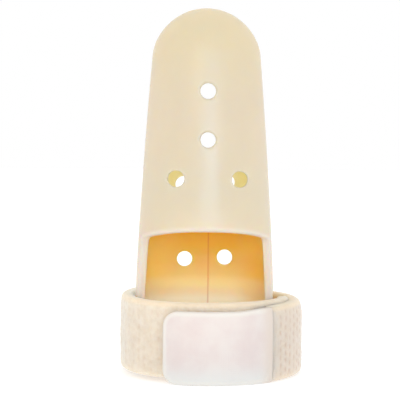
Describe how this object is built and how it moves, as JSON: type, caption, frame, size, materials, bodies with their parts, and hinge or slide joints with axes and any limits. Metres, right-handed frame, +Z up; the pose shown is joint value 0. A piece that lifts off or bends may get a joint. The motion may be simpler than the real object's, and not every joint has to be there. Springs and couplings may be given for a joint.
{
  "type": "finger splint",
  "caption": "Rounded plastic fingertip splint with a short front hood, a window below it, vent holes, and a soft hook-and-loop strap round its open base.",
  "frame": {"origin": "on the floor in the middle of the footprint, level with the open end that the finger goes in by", "axes": "+Z up along the finger towards the closed tip, -Y towards the front window and the strap's tab, +X to the right seen from the front"},
  "size_m": [0.0324, 0.0276, 0.0646],
  "materials": {
    "shell_plastic": "satin, slightly translucent ivory moulded plastic, warmer and deeper inside",
    "strap_loop": "fine beige loop pile on thin foam",
    "strap_tab": "smooth pinkish-white hook tape, hooks inward"
  },
  "bodies": {
    "root": {"splint_shell": "shell_plastic", "strap_band": "strap_loop", "hook_tab": "strap_tab"}
  },
  "joints": []
}
